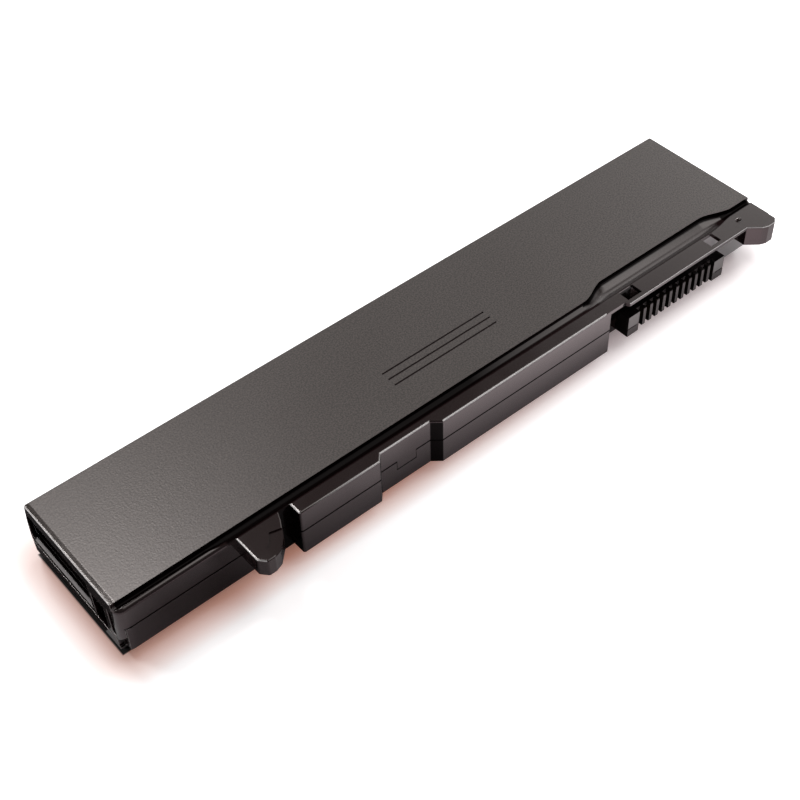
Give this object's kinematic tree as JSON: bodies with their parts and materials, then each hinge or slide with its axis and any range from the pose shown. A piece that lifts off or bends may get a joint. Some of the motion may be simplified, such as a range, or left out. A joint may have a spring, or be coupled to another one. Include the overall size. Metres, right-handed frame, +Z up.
{
  "type": "laptop battery",
  "caption": "Flat rechargeable laptop battery: a two-part black case with a stepped front edge, hooks, a comb connector under a bridge bar, and round cells on a board inside.",
  "frame": {"origin": "centre of the bounding box in plan, on the floor under the case", "axes": "+X along the pack from the plain end with the hollows to the connector end, +Y away from the connector side, +Z up through the top panel"},
  "size_m": [0.208, 0.0509, 0.0204],
  "materials": {
    "case_top": "satin moulded black with a fine-grained panel",
    "case_bottom": "satin moulded black",
    "cell_sleeve": "shrunk film over a steel can",
    "insulator_paper": "matt",
    "nickel_strip": "rolled nickel",
    "board_laminate": "green solder resist",
    "chip_body": "moulded epoxy",
    "resistor_alloy": "dull metal strip",
    "fuse_ceramic": "matt",
    "connector_plastic": "moulded black",
    "contact_plating": "gold-plated",
    "lead_black": "extruded insulation",
    "lead_red": "extruded insulation",
    "lead_white": "extruded insulation"
  },
  "bodies": {
    "root": {"top_cover": "case_top", "bottom_cover": "case_bottom", "cell_front_1": "cell_sleeve", "cell_back_1": "cell_sleeve", "cell_front_2": "cell_sleeve", "cell_back_2": "cell_sleeve", "cell_front_3": "cell_sleeve", "cell_back_3": "cell_sleeve", "insulator_rings": "insulator_paper", "strip_negative": "nickel_strip", "strip_mid_1": "nickel_strip", "strip_mid_2": "nickel_strip", "strip_positive": "nickel_strip", "circuit_board": "board_laminate", "control_chip": "chip_body", "protection_chip": "chip_body", "switch_transistors": "chip_body", "sense_resistor": "resistor_alloy", "cutout_fuse": "fuse_ceramic", "connector_housing": "connector_plastic", "connector_contacts": "contact_plating", "lead_negative": "lead_black", "lead_tap_1": "lead_white", "lead_tap_2": "lead_white", "lead_positive": "lead_red"}
  },
  "joints": []
}
